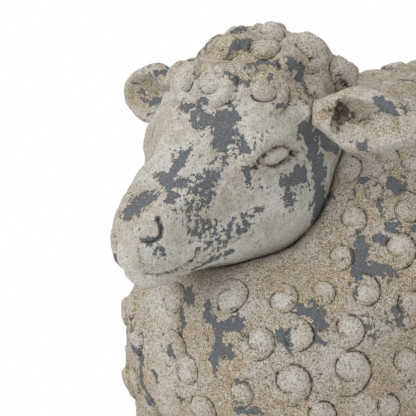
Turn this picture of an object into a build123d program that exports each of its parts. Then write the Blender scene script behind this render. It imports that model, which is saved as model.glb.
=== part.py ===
"""Standing sheep garden figurine, cast in cement composite as a set of bonded pieces.

The figure faces -Y, its left side is +X and it stands on Z = 0. The origin is on the ground,
under the middle of the figure. The hollow body is two half castings that meet at X = 0. The head,
ears, legs and tail are castings of their own, held by steel rods and dowels. Sections have sides of
fixed direction, so that all the facets between two sections are flat.
"""

import os
from math import copysign, cos, pi, radians, sin

from build123d import *

# Body, in millimetres
leg_height = 126.0
body_length = 440.0
body_width = 212.0
body_depth = 246.0
thigh_drop = 10.0
wall = 14.0

# Fleece
curl_radius = 11.0
curl_height = 3.2
curl_crown = 0.6
curl_pitch = 36.0
curl_sides = 5
curl_turn = 23.0

# Head
muzzle_reach = 50.0
head_length = 125.0
head_width = 86.0
head_depth = 100.0
head_rounding = 2.0
head_pitch = 32.0
ear_axis_back = 50.0
ear_axis_drop = 5.0
eye_length = 26.0
eye_height = 14.0
eye_bulge = 4.0
eye_tilt = 18.0
eye_sides = 8
eye_place = (37.0, 24.0, -23.0)
nostril_radius = 5.0
nostril_depth = 5.0
nostril_place = (15.0, 98.0, -60.0)
mouth_gap = 2.0
mouth_depth = 2.5
mouth_length = 56.0
mouth_place = (0.0, 90.0, -80.0)

# Topknot
poll_length = 92.0
poll_width = 76.0
poll_height = 36.0
poll_back = 7.0
topknot_radius = 14.0
topknot_spread = 1.1
topknot_rise = 0.6
topknot_sink = 0.3
topknot_sides = 7

# Ears
ear_root = 51.0
ear_length = 65.0
ear_height = 37.0
ear_thickness = 24.0
ear_sweep = 19.0
ear_drop = 5.0
ear_boss_radius = 12.5
ear_hollow_height = 27.0
ear_hollow_depth = 8.0

# Legs and tail
leg_spread = 104.0
front_leg_inset = 76.0
hind_leg_inset = 78.0
thigh_radius = 33.0
thigh_flare = 10.0
leg_width = 48.0
leg_depth = 52.0
cleft_width = 3.0
cleft_depth = 12.0
cleft_height = 20.0
tail_length = 92.0
tail_width = 44.0
tail_reach = 16.0
tail_rise = 0.54
tail_hang = 0.55

# Rods, dowels and plug, with the clearances they are set in
rod_diameter = 8.0
rod_grip = 56.0
rod_foot = 18.0
neck_rod_length = 66.0
neck_rod_spread = 36.0
neck_rod_drop = 30.0
neck_rod_back = 15.0
ear_dowel_diameter = 5.0
ear_dowel_length = 28.0
tail_dowel_diameter = 6.0
tail_dowel_length = 26.0
plug_diameter = 40.0
grout = 0.3
rod_end_gap = 1.0
joint_gap = 0.4

# Sides of the sections, and how square a body section is: 2 is an ellipse, more is squarer
body_sides = 24
head_sides = 16
limb_sides = 12
squareness = 2.6

# Places worked out from the dimensions
overall_length = muzzle_reach + body_length + tail_reach
chest_y = muzzle_reach - overall_length / 2
rump_y = chest_y + body_length
belly_z = leg_height + thigh_drop
back_z = belly_z + body_depth
ear_axis = Vector(0, chest_y + ear_axis_back, back_z - ear_axis_drop)
head_forward = Vector(0, -cos(radians(head_pitch)), -sin(radians(head_pitch)))
head_up = Vector(0, -sin(radians(head_pitch)), cos(radians(head_pitch)))
rod_bore = rod_diameter / 2 + grout
standing = (Align.CENTER, Align.CENTER, Align.MIN)
neck_rod_places = [
    (side * neck_rod_spread / 2, ear_axis.Y + neck_rod_back, ear_axis.Z - neck_rod_drop) for side in (1, -1)
]
tail_seat = (0, rump_y, belly_z + body_depth * tail_rise)
leg_places = {
    "front_left_leg": (leg_spread / 2, chest_y + front_leg_inset),
    "front_right_leg": (-leg_spread / 2, chest_y + front_leg_inset),
    "hind_left_leg": (leg_spread / 2, rump_y - hind_leg_inset),
    "hind_right_leg": (-leg_spread / 2, rump_y - hind_leg_inset),
}

# Body stations from chest to rump: share of the length, of the half width, and of the depth for belly and back
body_stations = [
    (0.000, 0.20, 0.36, 0.500),
    (0.008, 0.38, 0.28, 0.560),
    (0.025, 0.55, 0.20, 0.600),
    (0.060, 0.71, 0.12, 0.630),
    (0.120, 0.87, 0.06, 0.690),
    (0.180, 0.95, 0.03, 0.850),
    (0.230, 0.98, 0.02, 0.960),
    (0.300, 1.00, 0.01, 0.990),
    (0.450, 1.00, 0.00, 0.995),
    (0.650, 1.00, 0.01, 1.000),
    (0.820, 0.96, 0.05, 0.985),
    (0.920, 0.84, 0.12, 0.935),
    (0.975, 0.66, 0.22, 0.850),
    (1.000, 0.46, 0.33, 0.745),
]
# The hollow starts a wall behind the front thighs and ends inside the hind ones, as shares of the length
hollow_from = (front_leg_inset + thigh_radius + thigh_flare + wall) / body_length
hollow_to = 1 - (hind_leg_inset - thigh_radius / 2) / body_length
# The fleece has no curls at the very ends or under the belly
fleece_from, fleece_to = 0.01, 0.985
fleece_top, fleece_bottom = 84.0, -62.0

# Head stations from the neck to the lips, as shares: of the length before the ears, of the depth from the
# ear axis for ridge and throat, and of the half width out and the depth up for brow, cheek and jaw
head_stations = [
    (-0.20, 0.14, -0.52, (0.66, 0.06), (0.86, -0.28), (0.64, -0.46)),
    (0.00, 0.25, -0.63, (0.80, 0.15), (0.98, -0.30), (0.80, -0.53)),
    (0.16, 0.27, -0.74, (0.89, 0.15), (0.99, -0.28), (0.84, -0.62)),
    (0.32, 0.26, -0.75, (0.92, 0.11), (0.93, -0.23), (0.76, -0.62)),
    (0.44, 0.19, -0.69, (0.74, 0.08), (0.82, -0.22), (0.67, -0.56)),
    (0.55, 0.12, -0.60, (0.55, 0.05), (0.69, -0.21), (0.60, -0.49)),
    (0.67, 0.07, -0.50, (0.46, 0.03), (0.56, -0.18), (0.50, -0.41)),
    (0.79, 0.04, -0.43, (0.39, 0.00), (0.48, -0.16), (0.40, -0.34)),
    (0.90, 0.00, -0.39, (0.35, -0.03), (0.43, -0.16), (0.29, -0.29)),
    (0.96, -0.06, -0.35, (0.24, -0.09), (0.31, -0.18), (0.20, -0.28)),
    (1.00, -0.13, -0.31, (0.12, -0.14), (0.17, -0.20), (0.10, -0.26)),
]

# Curls of the topknot: share of topknot_radius, then mm left, forward and up from the ear axis
topknot_middle = [(1.0, 0, 33, 20), (1.1, 0, 11, 34), (1.1, 0, -19, 36), (1.05, 0, -44, 26)]
topknot_side = [
    (1.0, 22, 27, 18),
    (1.0, 24, 0, 28),
    (1.1, 23, -27, 32),
    (1.05, 26, -47, 16),
    (0.75, 34, 14, 15),
    (0.75, 34, -18, 16),
]
# Poll stations from its foot to its crown: share of the plan and of the height
poll_stations = [(0.80, -0.9), (0.97, -0.45), (1.0, 0.0), (0.97, 0.35), (0.84, 0.68), (0.55, 0.92), (0.2, 1.0)]

# Ear stations from root to tip: share of the length, of the height and of the thickness
ear_stations = [
    (0.00, 0.62, 0.80),
    (0.15, 0.88, 0.95),
    (0.36, 1.00, 1.00),
    (0.60, 0.86, 0.84),
    (0.80, 0.62, 0.60),
    (0.94, 0.36, 0.36),
    (1.00, 0.16, 0.18),
]
ear_hollow_stations = [
    (0.26, 0.62, 0.70),
    (0.36, 1.00, 1.00),
    (0.60, 0.86, 0.84),
    (0.82, 0.40, 0.50),
]

# Leg stations from seat to sole: share of the height, of the width, of the depth, and mm back of the seat
front_leg_stations = [
    (1.0, 1.00, 1.00, 0.0),
    (0.8, 0.88, 0.88, 0.0),
    (0.6, 0.70, 0.71, -1.0),
    (0.4, 0.59, 0.58, 0.0),
    (0.2, 0.65, 0.66, -2.0),
    (0.0, 0.77, 0.86, -5.0),
]
hind_leg_stations = [
    (1.0, 1.00, 1.00, 0.0),
    (0.8, 0.88, 0.92, 3.0),
    (0.6, 0.68, 0.76, 7.0),
    (0.4, 0.58, 0.60, 7.0),
    (0.2, 0.65, 0.66, 3.0),
    (0.0, 0.77, 0.86, -1.0),
]

# Tail stations from the tip to the root: share of the length, of the width and of the reach
tail_stations = [
    (0.00, 0.30, 0.30),
    (0.08, 0.62, 0.60),
    (0.30, 0.95, 0.95),
    (0.60, 1.00, 1.00),
    (0.88, 0.80, 0.80),
    (1.00, 0.40, 0.40),
]


def between(first, second, third, fourth, share):
    """A value between the second and third of four, on a smooth curve through them all."""
    slope, next_slope = (third - first) / 2, (fourth - second) / 2
    rise = third - second
    bend, twist = 3 * rise - 2 * slope - next_slope, slope + next_slope - 2 * rise
    return second + slope * share + bend * share**2 + twist * share**3


def smooth_rows(rows, parts, closed=False):
    """Adds rows of numbers between the given ones, on smooth curves through them."""
    count = len(rows)
    made = []
    for index in range(count if closed else count - 1):
        picked = [index - 1, index, index + 1, index + 2]
        four = [rows[i % count] if closed else rows[min(max(i, 0), count - 1)] for i in picked]
        for step in range(parts):
            made.append(tuple(between(*column, step / parts) for column in zip(*four)))
    return made if closed else made + [tuple(rows[-1])]


def row_at(rows, share):
    """The row at a share of the length, on a straight line between the given rows."""
    after = max(next(index for index, row in enumerate(rows) if row[0] >= share), 1)
    before = rows[after - 1]
    part = (share - before[0]) / (rows[after][0] - before[0])
    return tuple(a + (b - a) * part for a, b in zip(before, rows[after]))


def flat_sided(reaches):
    """Corners of the outline whose sides lie at the given reaches, in evenly turned directions."""
    count = len(reaches)
    step = 2 * pi / count
    corners = []
    for index, reach in enumerate(reaches):
        turn, after = index * step, reaches[(index + 1) % count]
        x = reach * sin(turn + step) - after * sin(turn)
        y = after * cos(turn) - reach * cos(turn + step)
        corners.append((x / sin(step), y / sin(step)))
    return corners


def round_section(half_width, half_height, middle, sides):
    """Corners of a softly squared outline about a middle height."""
    dual = squareness / (squareness - 1)
    reaches = []
    for index in range(sides):
        turn = 2 * pi * index / sides
        size = (abs(half_width * cos(turn)) ** dual + abs(half_height * sin(turn)) ** dual) ** (1 / dual)
        reaches.append(size)
    return [(x, y + middle) for x, y in flat_sided(reaches)]


def head_section(station, gap):
    """Corners of the head's outline at a station, grown by a gap."""
    rails = [(station[i] * head_width / 2, station[i + 1] * head_depth) for i in (2, 4, 6)]
    far_rails = [(-out, up) for out, up in reversed(rails)]
    ring = [(0, station[0] * head_depth), *rails, (0, station[1] * head_depth), *far_rails]
    middle = (station[0] + station[1]) * head_depth / 2
    outline = [(x, y - middle) for x, y in smooth_rows(ring, head_sides // 2, closed=True)]
    turns = [2 * pi * index / head_sides for index in range(head_sides)]
    reaches = [max(x * cos(turn) + y * sin(turn) for x, y in outline) + head_rounding + gap for turn in turns]
    return [(x, y + middle) for x, y in flat_sided(reaches)]


def body_station_plane(share):
    """The upright plane across the body at a share of its length, with local Y up."""
    return Plane((0, chest_y + share * body_length, belly_z), x_dir=(1, 0, 0), z_dir=(0, -1, 0))


def head_station_plane(share):
    """The plane across the head at a share of its length, with local Y towards the brow."""
    return Plane(ear_axis + head_forward * share * head_length, x_dir=(1, 0, 0), z_dir=tuple(head_forward))


def head_place(left, forward, up):
    """A point given in mm left, forward and up from the middle of the ear axis."""
    return ear_axis + Vector(left, -forward, up)


def ear_plane(share):
    """The plane across the left ear at a share of its length, with local X up and local Y forward."""
    along = Vector(ear_root + ear_length * share, ear_sweep * share**1.5, -ear_drop * share)
    return Plane(ear_axis + along, x_dir=(0, 0, 1), z_dir=(1, 0, 0))


def flat_faced(form):
    """The same solid, with every facet as a true plane."""
    return Solid(Shell([Face(facet.outer_wire()) for facet in form.faces()]))


def body_form(inset, first, last):
    """The bare body between two shares of its length, shrunk all round by an inset."""
    inner = [station for station in body_stations if first < station[0] < last]
    with BuildPart() as form:
        for share, width, low, high in (row_at(body_stations, first), *inner, row_at(body_stations, last)):
            half_height = (high - low) * body_depth / 2
            middle = low * body_depth + half_height
            corners = round_section(width * body_width / 2 - inset, half_height - inset, middle, body_sides)
            with BuildSketch(body_station_plane(share)):
                with BuildLine():
                    Polyline(*corners, close=True)
                make_face()
        loft(ruled=True)
    return flat_faced(form.part)


def fleece_place(share, turn):
    """A point of the body's skin at a share of the length and a turn up from the side, in degrees."""
    width, low, high = row_at(smooth_rows(body_stations, 8), share)[1:]
    out, up = cos(radians(turn)), sin(radians(turn))
    power = 2 / squareness
    x = width * body_width / 2 * copysign(abs(out) ** power, out)
    z = (high - low) * body_depth / 2 * copysign(abs(up) ** power, up) + (low + high) / 2 * body_depth
    return Vector(x, chest_y + share * body_length, belly_z + z)


def fleece_rows():
    """Shares of the length for the rows of curls, a pitch apart along the flank."""
    steps = 400
    rows, gone = [], 0.0
    for index in range(steps):
        share = fleece_from + (fleece_to - fleece_from) * index / steps
        ahead = share + (fleece_to - fleece_from) / steps
        if gone >= len(rows) * curl_pitch:
            rows.append(share)
        gone += (fleece_place(ahead, 0) - fleece_place(share, 0)).length
    return rows


def fleece_planes():
    """Planes on the left side's skin for its curls, in staggered rows about a pitch apart."""
    nudge = 0.002
    planes = []
    for row, share in enumerate(fleece_rows()):
        rim = [fleece_place(share, turn) for turn in range(int(fleece_bottom), int(fleece_top), 2)]
        girth = sum((b - a).length for a, b in zip(rim, rim[1:]))
        count = max(round(girth / curl_pitch), 2)
        for index in range(count):
            turn = fleece_bottom + (fleece_top - fleece_bottom) * (index + 0.25 + 0.5 * (row % 2)) / count
            along = (fleece_place(share + nudge, turn) - fleece_place(share - nudge, turn)).normalized()
            around = (fleece_place(share, turn + 1) - fleece_place(share, turn - 1)).normalized()
            twist = radians(curl_turn * (row + index))
            across = along * cos(twist) + around * sin(twist)
            outward = along.cross(around)
            planes.append(Plane(fleece_place(share, turn), x_dir=tuple(across), z_dir=tuple(outward)))
    return planes


def curl_form(radius, height, sides, sink):
    """A curl as a low boss that narrows to its crown, sunk into what carries it."""
    slope = radius * (1 - curl_crown) / height
    with BuildPart() as form:
        for size, level in ((radius + slope * sink, -sink), (radius * curl_crown, height)):
            with BuildSketch(Plane.XY.offset(level)):
                RegularPolygon(size, sides)
        loft(ruled=True)
    return flat_faced(form.part)


def face_form(gap=0.0):
    """The head without its topknot, grown all round by a gap."""
    rows = [(*levels, *brow, *cheek, *jaw) for *levels, brow, cheek, jaw in head_stations]
    with BuildPart() as form:
        for share, *station in smooth_rows(rows, 2):
            with BuildSketch(head_station_plane(share)):
                with BuildLine():
                    Polyline(*head_section(station, gap), close=True)
                make_face()
        loft(ruled=True)
    return flat_faced(form.part)


def eye_form(side):
    """An almond eye that stands out of one side of the head."""
    slant = (0, cos(radians(eye_tilt)), sin(radians(eye_tilt)))
    with BuildPart() as form:
        for share, out in ((1.0, -eye_bulge), (1.0, eye_bulge * 0.5), (0.55, eye_bulge * 1.5)):
            corners = round_section(share * eye_length / 2, share * eye_height / 2, 0, eye_sides)
            place = head_place(side * (eye_place[0] + out), *eye_place[1:])
            with BuildSketch(Plane(place, x_dir=slant, z_dir=(side, 0, 0))):
                with BuildLine():
                    Polyline(*corners, close=True)
                make_face()
        loft(ruled=True)
    return flat_faced(form.part)


def poll_form(gap):
    """The rounded crown that carries the topknot, grown all round by a gap."""
    with BuildPart() as form:
        for share, height in poll_stations:
            corners = round_section(poll_width / 2 * share + gap, poll_length / 2 * share + gap, 0, limb_sides)
            with BuildSketch(Plane(head_place(0, -poll_back, (poll_height + gap) * height))):
                with BuildLine():
                    Polyline(*corners, close=True)
                make_face()
        loft(ruled=True)
    return flat_faced(form.part)


def topknot_form(gap=0.0):
    """The poll and its curls, grown all round by a gap."""
    heart = head_place(0, -poll_back, -poll_height / 2)
    pairs = [(size, side * left, *rest) for size, left, *rest in topknot_side for side in (1, -1)]
    with BuildPart() as form:
        add(poll_form(gap))
        for share, left, forward, up in topknot_middle + pairs:
            centre = head_place(left, forward, up)
            radius = share * topknot_radius
            with Locations(Plane(centre, z_dir=centre - heart)):
                spread, rise = radius * topknot_spread + gap, radius * topknot_rise + gap
                add(curl_form(spread, rise, topknot_sides, radius * topknot_sink))
    return form.part


def ear_skin(stations, half_height, depth, forward):
    """A closed skin along the ear through some of its stations."""
    with BuildPart() as form:
        for share, height, thick in stations:
            corners = round_section(height * half_height, thick * depth, thick * forward, limb_sides)
            with BuildSketch(ear_plane(share)):
                with BuildLine():
                    Polyline(*corners, close=True)
                make_face()
        loft(ruled=True)
    return flat_faced(form.part)


def ear_form():
    """The left ear on its root plane, with its hollow and the bore of its dowel."""
    with BuildPart() as form:
        add(ear_skin(ear_stations, ear_height / 2, ear_thickness / 2, 0))
        hollow = ear_skin(ear_hollow_stations, ear_hollow_height / 2, ear_hollow_depth, ear_thickness / 2)
        add(hollow, mode=Mode.SUBTRACT)
        with Locations(ear_plane(0).location):
            Cylinder(ear_dowel_diameter / 2 + grout, ear_dowel_length + 2 * rod_end_gap, mode=Mode.SUBTRACT)
    return form.part


def leg_skin(stations, place):
    """A leg's outside, standing on the ground under its seat."""
    with BuildPart() as form:
        for height, width, depth, back in stations:
            corners = round_section(width * leg_width / 2, depth * leg_depth / 2, 0, limb_sides)
            with BuildSketch(Plane((place[0], place[1] + back, height * leg_height))):
                with BuildLine():
                    Polyline(*corners, close=True)
                make_face()
        loft(ruled=True)
    return flat_faced(form.part)


def leg_form(stations, place):
    """A leg with its cloven hoof, bored for its rod."""
    with BuildPart() as form:
        add(leg_skin(stations, place))
        with Locations((place[0], place[1] - leg_depth / 2, cleft_height / 2)):
            Box(cleft_width, cleft_depth * 2, cleft_height, mode=Mode.SUBTRACT)
        with Locations((place[0], place[1], rod_foot - rod_end_gap)):
            Cylinder(rod_bore, leg_height, align=standing, mode=Mode.SUBTRACT)
    return form.part


def tail_skin():
    """The tail as a drop, half of it behind its seat on the rump."""
    with BuildPart() as form:
        for share, width, reach in tail_stations:
            corners = round_section(width * tail_width / 2, reach * tail_reach, 0, limb_sides)
            with BuildSketch(Plane((0, rump_y, tail_seat[2] + (share - tail_hang) * tail_length))):
                with BuildLine():
                    Polyline(*corners, close=True)
                make_face()
        loft(ruled=True)
    return flat_faced(form.part)


def thigh_form(place):
    """A thigh that widens from the leg's seat up into the body."""
    with BuildPart() as form:
        for radius, level in ((thigh_radius, 0), (thigh_radius + thigh_flare, rod_grip + wall)):
            with BuildSketch(Plane((*place, leg_height + level))):
                RegularPolygon(radius, limb_sides)
        loft(ruled=True)
    return flat_faced(form.part)


# Left half of the body: shell, fleece, thighs, sockets for the rods and the seat of the head
with BuildPart() as body_left:
    add(body_form(0, 0, 1))
    with Locations(*fleece_planes()):
        add(curl_form(curl_radius, curl_height, curl_sides, curl_height))
    split(bisect_by=Plane.YZ, keep=Keep.TOP)
    add(body_form(wall, hollow_from, hollow_to), mode=Mode.SUBTRACT)
    for name in ("front_left_leg", "hind_left_leg"):
        add(thigh_form(leg_places[name]))
        with Locations((*leg_places[name], leg_height)):
            Cylinder(rod_bore, rod_grip + rod_end_gap, align=standing, mode=Mode.SUBTRACT)
    add(face_form(joint_gap), mode=Mode.SUBTRACT)
    add(topknot_form(joint_gap), mode=Mode.SUBTRACT)
    with Locations((0, 0, belly_z)):
        Cylinder(plug_diameter / 2 + joint_gap, wall * 2, align=standing, mode=Mode.SUBTRACT)
    with Locations(tail_seat):
        Cylinder(
            tail_dowel_diameter / 2 + grout,
            tail_dowel_length + rod_end_gap * 2,
            rotation=(90, 0, 0),
            mode=Mode.SUBTRACT,
        )
    with Locations(neck_rod_places[0]):
        Cylinder(rod_bore, neck_rod_length + rod_end_gap * 2, rotation=(90, 0, 0), mode=Mode.SUBTRACT)

with BuildPart() as body_right:
    add(body_left.part)
    mirror(about=Plane.YZ, mode=Mode.REPLACE)

# Groove of the mouth, a thin band of the muzzle's skin
with BuildPart() as mouth:
    add(face_form(1))
    add(face_form(-mouth_depth), mode=Mode.SUBTRACT)
    with Locations(Plane(head_place(*mouth_place), x_dir=(1, 0, 0), z_dir=tuple(head_up)).location):
        Box(head_width, mouth_length, mouth_gap, mode=Mode.INTERSECT)

with BuildPart() as head:
    add(face_form())
    add(topknot_form())
    for side, neck_rod_place in zip((1, -1), neck_rod_places):
        with Locations(head_place(side * ear_root / 2, 0, 0)):
            Cylinder(ear_boss_radius, ear_root, rotation=(0, 90, 0))
        add(eye_form(side))
        nostril = head_place(side * nostril_place[0], *nostril_place[1:])
        with Locations(Plane(nostril, z_dir=(-side, 1, 0))):
            add(curl_form(nostril_radius, nostril_depth, curl_sides, nostril_depth), mode=Mode.SUBTRACT)
        with Locations(head_place(side * ear_root, 0, 0)):
            Cylinder(
                ear_dowel_diameter / 2 + grout,
                ear_dowel_length + rod_end_gap * 2,
                rotation=(0, 90, 0),
                mode=Mode.SUBTRACT,
            )
        with Locations(neck_rod_place):
            Cylinder(rod_bore, neck_rod_length + rod_end_gap * 2, rotation=(90, 0, 0), mode=Mode.SUBTRACT)
    add(mouth.part, mode=Mode.SUBTRACT)

with BuildPart() as ear_left:
    add(ear_form())

with BuildPart() as ear_right:
    add(ear_left.part)
    mirror(about=Plane.YZ, mode=Mode.REPLACE)

# Tail with a flat seat on the rump
with BuildPart() as tail:
    add(tail_skin())
    split(bisect_by=Plane(tail_seat, x_dir=(1, 0, 0), z_dir=(0, 1, 0)), keep=Keep.TOP)
    with Locations(tail_seat):
        Cylinder(
            tail_dowel_diameter / 2 + grout,
            tail_dowel_length + rod_end_gap * 2,
            rotation=(90, 0, 0),
            mode=Mode.SUBTRACT,
        )

with BuildPart() as tail_dowel:
    with Locations(tail_seat):
        Cylinder(tail_dowel_diameter / 2, tail_dowel_length, rotation=(90, 0, 0))

with BuildPart() as ear_dowels:
    with Locations(head_place(ear_root, 0, 0), head_place(-ear_root, 0, 0)):
        Cylinder(ear_dowel_diameter / 2, ear_dowel_length, rotation=(0, 90, 0))

with BuildPart() as neck_rods:
    with Locations(*neck_rod_places):
        Cylinder(rod_diameter / 2, neck_rod_length, rotation=(90, 0, 0))

with BuildPart() as leg_rods:
    with Locations(*[(*place, rod_foot) for place in leg_places.values()]):
        Cylinder(rod_diameter / 2, leg_height + rod_grip - rod_foot, align=standing)

# Plug of the pouring hole in the belly
with BuildPart() as belly_plug:
    with Locations((0, 0, belly_z)):
        Cylinder(plug_diameter / 2, wall, align=standing)

pieces = {
    "body_left": body_left.part,
    "body_right": body_right.part,
    "head": head.part,
    "ear_left": ear_left.part,
    "ear_right": ear_right.part,
    "ear_dowels": ear_dowels.part,
    "neck_rods": neck_rods.part,
    "leg_rods": leg_rods.part,
    "tail": tail.part,
    "tail_dowel": tail_dowel.part,
    "belly_plug": belly_plug.part,
}
for name, place in leg_places.items():
    pieces[name] = leg_form(front_leg_stations if "front" in name else hind_leg_stations, place)

os.makedirs("parts", exist_ok=True)
for name, piece in pieces.items():
    piece.label = name
    export_step(piece, f"parts/{name}.step")
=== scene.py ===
"""Looks of the standing sheep garden figurine: grey cement castings under a peeling sandy coat.

Each casting is taken from its solid in the frame as a dense skin of points and then sculpted: the fleece
gets its spiral curls, and the head its topknot, eyes, nostrils and mouth. Lengths are in metres.
"""

from __future__ import annotations

import logging
import math
from dataclasses import dataclass, field
from enum import Enum

import bpy
import numpy as np
from mathutils import Matrix, Vector
from mathutils.bvhtree import BVHTree

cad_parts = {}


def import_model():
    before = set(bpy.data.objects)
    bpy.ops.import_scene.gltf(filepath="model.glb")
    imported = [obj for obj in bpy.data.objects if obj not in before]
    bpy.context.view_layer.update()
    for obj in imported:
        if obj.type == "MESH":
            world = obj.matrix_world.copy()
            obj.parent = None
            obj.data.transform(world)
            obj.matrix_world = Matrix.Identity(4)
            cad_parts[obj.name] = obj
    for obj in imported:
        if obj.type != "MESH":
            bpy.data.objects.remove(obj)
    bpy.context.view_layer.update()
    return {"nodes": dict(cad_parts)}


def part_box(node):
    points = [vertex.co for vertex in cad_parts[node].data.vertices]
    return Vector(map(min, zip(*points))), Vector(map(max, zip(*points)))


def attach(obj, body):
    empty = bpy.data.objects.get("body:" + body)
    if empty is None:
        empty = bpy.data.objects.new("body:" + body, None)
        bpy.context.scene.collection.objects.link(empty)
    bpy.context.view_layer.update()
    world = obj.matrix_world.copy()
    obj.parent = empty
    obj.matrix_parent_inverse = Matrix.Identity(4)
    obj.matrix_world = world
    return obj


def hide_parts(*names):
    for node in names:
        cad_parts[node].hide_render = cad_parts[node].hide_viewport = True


LOG = logging.getLogger("sheep")
MM = 0.001
PHOTO_SIDE = 416
FLECK_REACH = 2.2
FLECK_COVER = 0.34
# Strokes at least this deep and at most this wide get painted shade, brown as dirt, along their cuts.
SHADED_CUT_DEPTH = 1.2 * MM
SHADED_CUT_WIDTH = 5.0 * MM

Pixel = tuple[float, float]
Colour = tuple[float, float, float, float]


def srgb(red: int, green: int, blue: int) -> Colour:
    """Turns a colour as seen on a screen, 0 to 255, into linear light.

    Args:
        red: Red as shown.
        green: Green as shown.
        blue: Blue as shown.

    Returns:
        The linear colour with alpha 1.
    """
    shown = np.array((red, green, blue)) / 255.0
    linear = np.where(shown <= 0.04045, shown / 12.92, ((shown + 0.055) / 1.055) ** 2.4)
    return (float(linear[0]), float(linear[1]), float(linear[2]), 1.0)


def smoothstep(low: float, high: float, value: np.ndarray) -> np.ndarray:
    """Rises smoothly from 0 at low to 1 at high.

    Args:
        low: Where the step starts.
        high: Where the step ends.
        value: The values to step.

    Returns:
        The stepped values.
    """
    share = np.clip((value - low) / (high - low), 0.0, 1.0)
    return share * share * (3.0 - 2.0 * share)


def unit(vectors: np.ndarray) -> np.ndarray:
    """Vectors of length one along the last axis."""
    return vectors / np.maximum(np.linalg.norm(vectors, axis=-1, keepdims=True), 1e-12)


@dataclass(frozen=True)
class Viewpoint:
    """The photograph's viewpoint, hung on the middle of the line between the ears."""

    ears: Vector
    azimuth: float = 43.0
    elevation: float = 10.0
    distance: float = 1.6
    pixel: float = 0.57 * MM
    ears_at: Pixel = (249.0, 104.0)
    sensor: float = 36.0

    def axes(self) -> tuple[Vector, Vector, Vector]:
        """The camera's right, up and backward directions."""
        turn, lift = math.radians(self.azimuth), math.radians(self.elevation)
        back = Vector((math.sin(turn) * math.cos(lift), -math.cos(turn) * math.cos(lift), math.sin(lift)))
        right = Vector((math.cos(turn), math.sin(turn), 0.0))
        return right, back.cross(right), back

    def on_plane(self, spot: Pixel) -> Vector:
        """The point that a pixel shows on the plane through the ears.

        Args:
            spot: Pixel across and down from the photograph's top left corner.

        Returns:
            The point in the row frame.
        """
        right, up, _ = self.axes()
        across, down = spot[0] - self.ears_at[0], spot[1] - self.ears_at[1]
        return self.ears + (right * across - up * down) * self.pixel

    def station(self) -> Vector:
        """Where the camera stands."""
        middle = (PHOTO_SIDE / 2, PHOTO_SIDE / 2)
        return self.on_plane(middle) + self.axes()[2] * self.distance

    def ray(self, spot: Pixel) -> tuple[Vector, Vector]:
        """The line of sight through a pixel, as its start and direction."""
        start = self.station()
        return start, (self.on_plane(spot) - start).normalized()

    def camera(self) -> bpy.types.Object:
        """Makes the scene's camera.

        Returns:
            The camera object.
        """
        data = bpy.data.cameras.new("photo_camera")
        data.sensor_width = self.sensor
        data.lens = self.sensor * self.distance / (PHOTO_SIDE * self.pixel)
        data.clip_end = 20.0
        camera = bpy.data.objects.new("photo_camera", data)
        right, up, back = self.axes()
        turn = Matrix((right, up, back)).transposed().to_4x4()
        camera.matrix_world = Matrix.Translation(self.station()) @ turn
        bpy.context.scene.collection.objects.link(camera)
        bpy.context.scene.camera = camera
        return camera


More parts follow.
